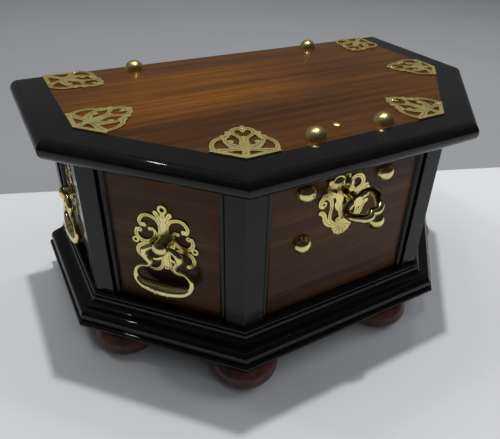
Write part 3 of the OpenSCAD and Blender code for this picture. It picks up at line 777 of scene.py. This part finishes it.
def screw_tree(finish: Material) -> NodeTree:
    """A tree that sets a slotted screw head at each place, facing as the place's attribute says.

    Args:
        finish: The screws' material.

    Returns:
        The tree, with the inputs Radius and Height.
    """
    t = Tree("slotted_screws", {"Radius": 0.0021, "Height": 0.0009})
    radius, height = t.given["Radius"], t.given["Height"]
    head = t.add("GeometryNodeMeshCylinder", {"Vertices": 28, "Radius": radius, "Depth": height})[0]
    slot_size = t.vector(t.times(radius, 2.4), t.times(radius, 0.26), t.times(height, 0.8))
    slot = t.add("GeometryNodeMeshCube", {"Size": slot_size})[0]
    lift = t.vector(0.0, 0.0, t.times(height, 0.5))
    raised = t.add("GeometryNodeTransform", {"Geometry": slot, "Translation": lift})[0]
    cut = t.add("GeometryNodeMeshBoolean", {0: head, 1: raised}, operation="DIFFERENCE")[0]
    return t.finish(t.placed(cut), finish)


def chasing_tree(finish: Material) -> NodeTree:
    """A tree that lays a fine round line along each chain of edges.

    Args:
        finish: The lines' material.

    Returns:
        The tree, with the inputs Radius and Step.
    """
    t = Tree("chased_lines", {"Radius": 0.00016, "Step": 0.0007})
    chain = t.add("GeometryNodeMeshToCurve", {"Mesh": t.given["Geometry"]})[0]
    bent = t.add("GeometryNodeCurveSplineType", {"Curve": chain}, spline_type="CATMULL_ROM")[0]
    even = t.add("GeometryNodeResampleCurve", {"Curve": bent, "Length": t.given["Step"]},
                 mode="LENGTH")[0]
    ring = t.add("GeometryNodeCurvePrimitiveCircle", {"Resolution": 6,
                                                      "Radius": t.given["Radius"]})[0]
    line = t.add("GeometryNodeCurveToMesh", {"Curve": even, "Profile Curve": ring,
                                             "Fill Caps": True})[0]
    return t.finish(line, finish)


@dataclass(frozen=True)
class Face:
    """The flat front of a plate: its origin, the directions of its drawing's x and y, in metres."""

    origin: Vector
    across: Vector
    up: Vector

    @property
    def out(self) -> Vector:
        """The direction it faces."""
        return self.across.cross(self.up)

    def at(self, x: float, y: float) -> Vector:
        """A place of the drawing, given in millimetres."""
        return self.origin + MM * (x * self.across + y * self.up)


@dataclass(frozen=True)
class Plan:
    """The plan of the case, in millimetres: where its corners and the middles of its sides are."""

    width: float = 370.0
    depth: float = 226.0
    side: float = 126.0
    front: float = 186.0
    panel_in: float = 5.0
    plate_back: float = 3.8
    pivot_height: float = 114.5
    lock_height: float = 145.0
    lock_x: float = -3.0

    @property
    def cant(self) -> float:
        """The angle of the canted sides to the front, in radians."""
        return math.atan2(self.depth - self.side, (self.width - self.front) / 2)

    def corner(self, number: int, out: float = 0.0) -> Vector:
        """A corner of the plan.

        Args:
            number: Its number, from the back's left round the front.
            out: How far outside the case's faces it lies.

        Returns:
            The corner, in metres.
        """
        side = self.side + out * math.tan((math.pi / 2 - self.cant) / 2)
        front = self.front / 2 + out * math.tan(self.cant / 2)
        width, depth = self.width / 2 + out, self.depth + out
        x, y = ((-width, 0.0), (-width, -side), (-front, -depth), (front, -depth), (width, -side),
                (width, 0.0))[number]
        return Vector((x * MM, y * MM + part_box("back_board")[1].y, 0.0))

    def lid_corner(self, number: int) -> Face:
        """The drawing's frame of a lid mount: x inwards along the corner's bisector, y across it.

        Args:
            number: The corner's number.

        Returns:
            The mount's face.
        """
        node = list(Corner)[number].value + "_mount"
        spot = self.corner(number, -self.panel_in)
        sides = (math.pi / 2, math.pi / 2 + self.cant, math.pi - self.cant)
        half = (*sides, *sides[::-1])[number] / 2
        way = (-half, math.pi / 2 - half, half, math.pi - half, math.pi / 2 + half,
               math.pi + half)[number]
        across = Vector((math.cos(way), math.sin(way), 0.0))
        return Face(Vector((spot.x, spot.y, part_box(node)[1].z)), across,
                    Vector((-across.y, across.x, 0.0)))

    def plate(self, number: int, height: float, shift: float = 0.0) -> Face:
        """The drawing's frame of a plate on a side: x to the right from outside, y up.

        Args:
            number: The side's number, from the left round the front.
            height: The height of the drawing's origin.
            shift: How far right of the side's middle it lies.

        Returns:
            The plate's face.
        """
        way = (-math.pi / 2, -self.cant, 0.0, self.cant, math.pi / 2)[number]
        across = Vector((math.cos(way), math.sin(way), 0.0))
        inwards = Vector((-across.y, across.x, 0.0))
        middle = (self.corner(number) + self.corner(number + 1)) / 2
        level = Vector((0.0, 0.0, height * MM))
        return Face(middle + MM * (self.plate_back * inwards + shift * across) + level, across,
                    Vector((0.0, 0.0, 1.0)))


@dataclass(frozen=True)
class Drawing:
    """A plate's pins and paired lines, mirrored across its middle line, and its single lines."""

    face: Face
    pins: Sequence[Spot]
    paired: Sequence[Chain]
    single: Sequence[Chain] = ()
    upright: bool = True

    def image(self, x: float, y: float) -> Spot:
        """The mirror image of a spot."""
        return (-x, y) if self.upright else (x, -y)

    def spots(self) -> list[Vector]:
        """The pins' places in metres: those given, then the images of those off the middle line."""
        images = [self.image(x, y) for x, y in self.pins if (x if self.upright else y)]
        return [self.face.at(x, y) for x, y in (*self.pins, *images)]

    def chains(self) -> list[list[Vector]]:
        """Each line's points in metres, a line's image coming after the line."""
        both = [line for chain in self.paired
                for line in (chain, [self.image(*spot) for spot in chain])]
        return [[self.face.at(*spot) for spot in line] for line in (*both, *self.single)]


# The drawings of the plates, in millimetres. A mount's pins end in the share of the reach that
# they move by.
MOUNT_PINS = ((7, 0, 1 / 3), (46, 0, 1), (11.6, 18.6, 1), (33, 12.8, 1))
HANDLE_PINS = ((20.6, 8.5), (0, 24), (0, -24))
LOCK_PINS = ((4.5, -18.6), (20.6, 7.2))
MOUNT_LINES: tuple[Chain, ...] = (
    ((13.5, 22), (17, 22.6), (22, 22.3), (27, 20.5), (30.8, 17), (32.6, 13.6)),
    ((29.4, 13.6), (25.4, 12.6), (21, 9.8), (17.4, 6.6), (15.6, 3.6)),
    ((26, 1.7), (30, 1.8), (34.4, 4.6), (38.4, 7.4), (43, 7.8), (46.2, 5.4), (47.8, 2)),
    ((13.4, 3), (12.9, 8), (11.9, 14), (11.5, 20)),
)
HANDLE_LINES: tuple[Chain, ...] = (
    ((19.6, 14.4), (20.3, 17.4), (16.9, 22.3), (11.9, 23.4), (6.4, 21.4), (3.2, 16.8), (3, 11)),
    ((7.4, 8.4), (7.6, 4.8), (11, 0.2), (16.9, -2.2), (22.3, 0.2), (24.1, 4.6), (23, 8.2)),
    ((10.8, -5.1), (15.7, -4.7), (21.4, -6.6), (24.2, -10.8), (23.4, -15.6), (20, -18.2)),
    ((2.6, -11), (2.6, -14), (3, -20), (5, -25.6), (9, -28.3), (12.8, -28.5), (15.2, -27.2)),
    ((5.7, 26.4), (3.8, 23.4), (1.8, 18.6)),
)
LOCK_LINES: tuple[Chain, ...] = (
    ((23.2, -0.4), (23.2, 3.6), (19.4, 6.2), (15.4, 4.6), (13, 0.4), (12.4, -5), (13.2, -11),
     (12.8, -16.6), (9.4, -20.6), (6.4, -22.6)),
    ((21.6, -7.6), (20, -8.8), (18.4, -12), (17.3, -15.8), (14.4, -19.6), (10.4, -22.2)),
    ((5, 14), (5.2, 16.6), (8.6, 18.9), (13.4, 17.8), (16.3, 13.6), (15.6, 9), (12.4, 6.8)),
    ((4.4, -5), (3.6, -10), (2.6, -15), (2.8, -19.5)),
)
PALMETTE_MIDDLE, PALMETTE_REACH = -24, (3.4, 9.2)
PALMETTE_LINES: tuple[Chain, ...] = tuple(
    tuple((r * math.sin(a), PALMETTE_MIDDLE - r * math.cos(a)) for r in PALMETTE_REACH)
    for a in (math.radians(degrees) for degrees in range(-75, 76, 30)))


@dataclass
class Case:
    """The case: six boards between ebonised corner posts, and its floor."""

    board_ease: float = 0.25
    post_ease: float = 0.35

    def build(self, bench: Bench) -> None:
        """Dresses the boards and posts.

        Args:
            bench: The bench.
        """
        for number, side in enumerate(Side):
            start = (number * 3.7, number * 5.3, 1.9)
            wood = FiguredWood("panel_wood_" + side.word, PANEL_COLOURS, side.heading, shift=start)
            piece = bench.eased(side.word + "_board", wood.material(), self.board_ease)
        floor = FiguredWood("floor_wood", FLOOR_COLOURS, streaks=(4.0, 60.0, 60.0),
                            shift=(9.0, 2.0, 5.0), coat=0.1).material()
        bench.eased("floor_board", floor, self.board_ease)
        upright = Ebonised("black_posts").material()
        for corner in Corner:
            bench.eased(corner.value + "_post", upright, self.post_ease)


@dataclass
class Plinth:
    """The moulded plinth and its six turned feet."""

    ease: float = 0.35

    def build(self, bench: Bench) -> None:
        """Dresses the mouldings and feet.

        Args:
            bench: The bench.
        """
        for side in Side:
            black = Ebonised("black_plinth_" + side.word, side.heading).material()
            bench.eased(side.word + "_plinth", black, self.ease)
        turned = TurnedWood("foot_wood").material()
        for corner in Corner:
            bench.eased(corner.value + "_foot", turned, 0.0)


@dataclass
class Lid:
    """The lid: a figured board inside five ebonised mouldings."""

    ease: float = 0.3

    def build(self, bench: Bench) -> None:
        """Dresses the board and its mouldings.

        Args:
            bench: The bench.
        """
        # The lid's board gets a painted sheen: a brighter, tinted patch painted into its colour on
        # the top.
        wood = FiguredWood("lid_mahogany", LID_COLOURS, streaks=(3.6, 120.0, 120.0),
                           shift=(0.6, 3.1, 0.4), painted_sheen=1.0).material()
        bench.eased("lid_board", wood, self.ease)
        for side in Side:
            if side is Side.BACK:
                continue
            black = Ebonised("black_lid_" + side.word, side.heading).material()
            bench.eased(side.word + "_lid_moulding", black, self.ease)


@dataclass
class Brasswork:
    """The pierced lid mounts, studs, lock, handles and hinges."""

    plate_ease: float = 0.22
    leaf_ease: float = 0.15
    iron_ease: float = 0.2
    round_smooth: float = 42.0
    plates: tuple[str, ...] = ("lock_plate", "left_handle_plate", "left_canted_handle_plate",
                               "right_canted_handle_plate", "right_handle_plate")
    rounds: tuple[str, ...] = ("lock_studs", "cover_rivet", "keyhole_cover", "key",
                               "handle_bosses", "left_bail", "left_canted_bail",
                               "right_canted_bail", "right_bail")
    leaves: tuple[str, ...] = ("catch_plate", "left_back_leaf", "right_back_leaf",
                               "left_lid_leaf", "right_lid_leaf", "hinge_pins")

    def build(self, bench: Bench) -> None:
        """Dresses every metal piece.

        Args:
            bench: The bench.
        """
        dull, plate = MOUNT_BRASS.material(), PLATE_BRASS.material()
        polished, turned = POLISHED_BRASS.material(), STUD_BRASS.material()
        iron = Iron("iron").material()
        for corner in Corner:
            bench.eased(corner.value + "_mount", dull, self.plate_ease)
        for node in self.plates:
            bench.eased(node, plate, self.plate_ease)
        bench.eased("lid_studs", turned, 0.0, self.round_smooth)
        for node in self.rounds:
            bench.eased(node, polished, 0.0, self.round_smooth)
        for node in self.leaves:
            bench.eased(node, dull, self.leaf_ease)
        for node in ("lock_case", "lock_bolt"):
            bench.eased(node, iron, self.iron_ease)


@dataclass
class Fixings:
    """What holds and enriches the brass: pins, screws and chased lines.

    Lengths are in metres, but for the reach, which is in the drawings' millimetres.
    """

    plan: Plan = field(default_factory=Plan)
    pin_radius: float = 0.0009
    pin_height: float = 0.0005
    line_radius: float = 0.00017
    leaf_thick: float = 0.002
    screw_step: float = 0.012
    outer_screws: float = 0.006
    middle_screw: float = 0.013
    back_reach: float = 9.0

    def build(self, bench: Bench) -> None:
        """Adds the pins, chased lines and screws.

        Args:
            bench: The bench.
        """
        brass = PIN_BRASS.material()
        trees = pin_tree(brass), chasing_tree(CHASED_BRASS.material())
        self.enrich(bench, "mount", "lid", *trees, self.mount_drawings())
        self.enrich(bench, "plate", "box", *trees, self.plate_drawings())
        self.hinge_screws(bench, screw_tree(brass))

    def enrich(self, bench: Bench, word: str, body: str, pins: NodeTree, lines: NodeTree,
               drawings: Sequence[Drawing]) -> None:
        """Sets the pins of plates and chases their lines.

        Args:
            bench: The bench.
            word: What the pieces' names begin with.
            body: The body that the plates belong to.
            pins: The tree that sets pins.
            lines: The tree that draws lines.
            drawings: The plates' drawings.
        """
        places = [(spot, drawing.face.out) for drawing in drawings for spot in drawing.spots()]
        bench.grown(word + "_pins", body, pins, [spot for spot, _ in places],
                    facing=[way for _, way in places], Radius=self.pin_radius,
                    Height=self.pin_height)
        points: list[Vector] = []
        edges: list[tuple[int, int]] = []
        for chain in (chain for drawing in drawings for chain in drawing.chains()):
            first = len(points)
            points += chain
            edges += [(i, i + 1) for i in range(first, len(points) - 1)]
        bench.grown(word + "_chasing", body, lines, points, edges, Radius=self.line_radius)

    def mount_drawings(self) -> list[Drawing]:
        """The drawings of the lid's corner mounts, of which the two at the back are longer.

        Returns:
            A drawing for each corner.
        """
        drawings: list[Drawing] = []
        for number, corner in enumerate(Corner):
            reach = self.back_reach if corner in (Corner.BACK_LEFT, Corner.BACK_RIGHT) else 0.0
            pins = [(x + reach * share, y) for x, y, share in MOUNT_PINS]
            lines = [tuple((x + reach, y) for x, y in chain) for chain in MOUNT_LINES]
            drawings.append(Drawing(self.plan.lid_corner(number), pins, lines, upright=False))
        return drawings

    def plate_drawings(self) -> list[Drawing]:
        """The drawings of the four handle plates and the lock plate.

        Returns:
            The drawings.
        """
        handles = [self.plan.plate(number, self.plan.pivot_height) for number in (0, 1, 3, 4)]
        lock = self.plan.plate(2, self.plan.lock_height, self.plan.lock_x)
        return [*(Drawing(face, HANDLE_PINS, HANDLE_LINES) for face in handles),
                Drawing(lock, LOCK_PINS, LOCK_LINES, PALMETTE_LINES)]

    def hinge_screws(self, bench: Bench, screws: NodeTree) -> None:
        """Puts three screws into each leaf of the hinges.

        Args:
            bench: The bench.
            screws: The tree that sets screws.
        """
        outside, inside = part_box("back_board")[1].y + self.leaf_thick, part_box("lid_board")[0].z
        back: list[Vector] = []
        lid: list[Vector] = []
        for hand in ("left", "right"):
            low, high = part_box(hand + "_back_leaf")
            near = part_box(hand + "_lid_leaf")[0].y
            for step in (-1, 0, 1):
                x = (low.x + high.x) / 2 + step * self.screw_step
                far = self.outer_screws if step else self.middle_screw
                back.append(Vector((x, outside, low.z + far)))
                lid.append(Vector((x, near + far, inside)))
        bench.grown("back_screws", "box", screws, back, facing=[Vector((0, 1, 0))] * len(back))
        bench.grown("lid_screws", "lid", screws, lid, facing=[Vector((0, 0, -1))] * len(lid))


@dataclass(frozen=True)
class Lamp:
    """A soft round lamp, in metres and watts. Polished things show it only if it is mirrored."""

    name: str
    place: Point
    target: Point
    size: float
    power: float
    tint: Colour
    mirrored: bool = False

    def hang(self) -> None:
        """Puts the lamp into the scene."""
        data = bpy.data.lights.new(self.name, "AREA")
        data.shape, data.size, data.energy, data.color = "DISK", self.size, self.power, self.tint
        item = bpy.data.objects.new(self.name, data)
        item.location = self.place
        item.visible_glossy = self.mirrored
        way = Vector(self.target) - Vector(self.place)
        item.rotation_euler = way.to_track_quat("-Z", "Y").to_euler()
        bpy.context.scene.collection.objects.link(item)


LAMPS = (
    Lamp("overhead", (0.21, 0.33, 3.00), (0.0, 0.0, 0.0), 0.12, 35.0, (1.0, 0.985, 0.95), True),
    Lamp("second", (0.85, 0.33, 3.00), (0.0, 0.0, 0.0), 0.16, 5.0, (1.0, 0.99, 0.96), True),
    Lamp("third", (-0.85, 0.92, 2.60), (0.0, 0.0, 0.0), 0.11, 3.5, (1.0, 0.99, 0.96), True),
    Lamp("softbox", (-0.25, 0.75, 1.70), (0.0, 0.0, 0.1), 1.40, 8.0, (0.96, 0.98, 1.0)),
    Lamp("right", (1.40, -0.35, 1.10), (0.15, -0.1, 0.0), 1.20, 7.0, (0.97, 0.985, 1.0)),
    Lamp("fill", (0.20, -1.25, 1.20), (0.1, 0.3, 0.3), 1.40, 3.0, (0.98, 0.99, 1.0)),
)


@dataclass
class Studio:
    """Floor, lamps and the camera. Lengths are in metres, but for the lens and its sensor."""

    eye: Point = (-0.22942, -0.47722, 0.35059)
    right: Point = (0.86331, -0.50317, 0.03893)
    up: Point = (0.24402, 0.48371, 0.84052)
    lens: float = 35.94
    sensor: float = 36.0
    shift: Spot = (-0.0402, -0.0266)
    clip: float = 0.01
    floor_colour: Colour = (0.78, 0.80, 0.83)
    far_colour: Colour = (0.33, 0.34, 0.36)
    far_line: tuple[Spot, Spot] = ((-2.98, 1.302), (3.16, -0.956))
    floor_reach: float = 4.0
    far_reach: float = 5.0
    room_dark: Colour = (0.025, 0.026, 0.029)
    room_light: Colour = (0.125, 0.128, 0.134)
    room_rise: float = 0.8
    room_span: float = 0.9
    room_start: float = 0.5

    def camera(self) -> None:
        """Stands the camera by the box's left front corner, measured from the back's outer face."""
        data = bpy.data.cameras.new("camera")
        data.lens, data.sensor_width = self.lens, self.sensor
        data.shift_x, data.shift_y = self.shift
        data.clip_start = self.clip
        eye = bpy.data.objects.new("camera", data)
        x, y = Vector(self.right).normalized(), Vector(self.up).normalized()
        turn = Matrix((x, y, x.cross(y))).transposed()
        back = Vector((0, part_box("back_board")[1].y, 0))
        eye.matrix_world = Matrix.Translation(Vector(self.eye) + back) @ turn.to_4x4()
        bpy.context.scene.collection.objects.link(eye)
        bpy.context.scene.camera = eye

    def backdrop(self) -> None:
        """Lays the pale floor in front of a slanting line and the grey one behind it."""
        a, b = (Vector((x, y, CAD_BOX[0].z)) for x, y in self.far_line)
        near, far = Vector((0.0, -self.floor_reach, 0.0)), Vector((0.0, self.far_reach, 0.0))
        self.sheet("floor", [a + near, b + near, b, a], self.floor_colour)
        self.sheet("far_floor", [a, b, b + far, a + far], self.far_colour)

    def sheet(self, name: str, corners: Iterable[Vector], colour: Colour) -> None:
        """A flat backdrop.

        Args:
            name: Its name.
            corners: Its four corners, in metres.
            colour: Its colour.
        """
        mesh = bpy.data.meshes.new(name)
        mesh.from_pydata([tuple(corner) for corner in corners], [], [(0, 1, 2, 3)])
        s = Shader(name + "_paint")
        tone = s.blend(s.span(s.cloud(3.0, 3.0), 0.3, 0.7, 0.0, 0.06), colour, (0.5, 0.5, 0.5))
        mesh.materials.append(s.set(Base_Color=tone, Roughness=0.75, Specular_IOR_Level=0.2))
        item = bpy.data.objects.new(name, mesh)
        bpy.context.scene.collection.objects.link(item)

    def room(self) -> None:
        """Sets a dim, cool room that is lighter overhead and behind the box."""
        world = bpy.data.worlds.new("room")
        world.use_nodes = True
        tree = world.node_tree
        tree.nodes.clear()
        way = grow(tree, "ShaderNodeTexCoord", {}).outputs["Generated"]
        part = grow(tree, "ShaderNodeSeparateXYZ", {0: way}).outputs
        lean = grow(tree, "ShaderNodeMath", {0: part["Z"], 1: self.room_rise, 2: part["Y"]},
                    operation="MULTIPLY_ADD").outputs[0]
        fit = grow(tree, "ShaderNodeMapRange", {"Value": lean, "From Min": -self.room_span,
                                                "From Max": self.room_span})
        ramp = grow(tree, "ShaderNodeValToRGB", {"Fac": fit.outputs["Result"]})
        dark, light = ramp.color_ramp.elements
        dark.position = self.room_start
        dark.color, light.color = (*self.room_dark, 1.0), (*self.room_light, 1.0)
        air = grow(tree, "ShaderNodeBackground", {"Color": ramp.outputs["Color"]})
        grow(tree, "ShaderNodeOutputWorld", {0: air.outputs[0]})
        bpy.context.scene.world = world

    def build(self) -> None:
        """Sets up the whole studio."""
        self.camera()
        self.backdrop()
        for lamp in LAMPS:
            lamp.hang()
        self.room()
        bpy.context.scene.view_settings.view_transform = "Standard"
        LOG.info("studio ready: %d lamps", len(LAMPS))


@dataclass
class MoneyBox:
    """The whole box, built in order."""

    bench: Bench = field(default_factory=Bench)
    case: Case = field(default_factory=Case)
    plinth: Plinth = field(default_factory=Plinth)
    lid: Lid = field(default_factory=Lid)
    brasswork: Brasswork = field(default_factory=Brasswork)
    fixings: Fixings = field(default_factory=Fixings)

    def build(self) -> None:
        """Builds every sub-assembly."""
        for part in (self.case, self.plinth, self.lid, self.brasswork, self.fixings):
            part.build(self.bench)
            LOG.info("%s done: %d pieces so far", type(part).__name__, self.bench.made)


def main() -> None:
    """Builds the studio and the box."""
    logging.basicConfig(level=logging.INFO, format="%(name)s: %(message)s")
    Studio().build()
    MoneyBox().build()


if __name__ == "__main__":
    main()
